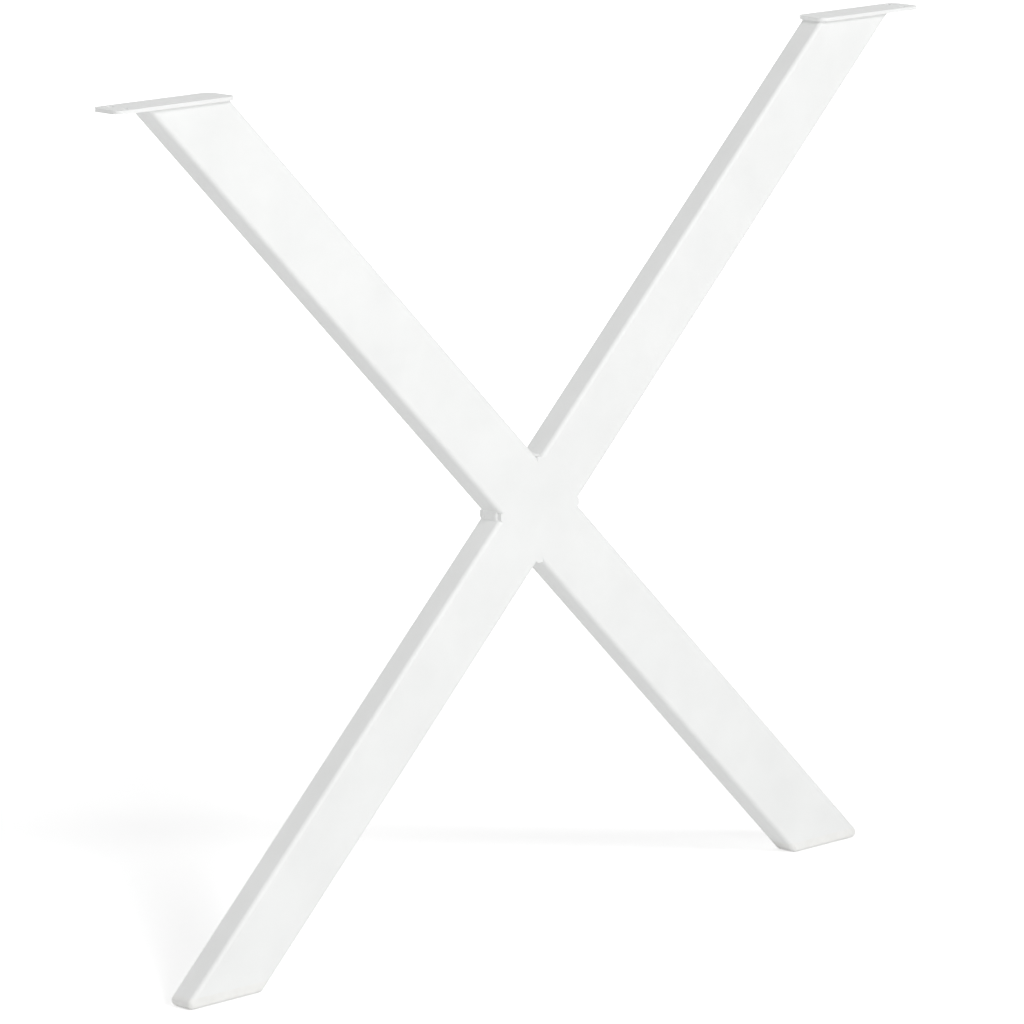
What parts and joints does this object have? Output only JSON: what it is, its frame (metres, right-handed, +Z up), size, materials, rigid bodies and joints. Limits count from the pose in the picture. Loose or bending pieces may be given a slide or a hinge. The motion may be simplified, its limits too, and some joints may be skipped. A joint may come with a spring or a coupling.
{
  "type": "x shaped table leg",
  "caption": "X shaped table leg of welded white powder-coated rectangular steel tube, with screw plates on the upper ends and plastic glides in the feet.",
  "frame": {"origin": "on the floor, midway between the feet and in the middle of the tube's depth", "axes": "+X across the leg towards the foot of the tube that runs through the crossing, +Y through the tube's depth away from the viewer, +Z up towards the table top"},
  "size_m": [0.926, 0.033, 0.73],
  "materials": {
    "powder_coat": "white powder coat, satin, with a fine orange peel",
    "glide_plastic": "white moulded polyethylene, finely spark-eroded"
  },
  "bodies": {
    "root": {"long_tube": "powder_coat", "upper_half_tube": "powder_coat", "lower_half_tube": "powder_coat", "upper_crossing_weld": "powder_coat", "lower_crossing_weld": "powder_coat", "left_mounting_plate": "powder_coat", "right_mounting_plate": "powder_coat", "left_plate_weld": "powder_coat", "right_plate_weld": "powder_coat", "left_foot_glide": "glide_plastic", "right_foot_glide": "glide_plastic"}
  },
  "joints": []
}
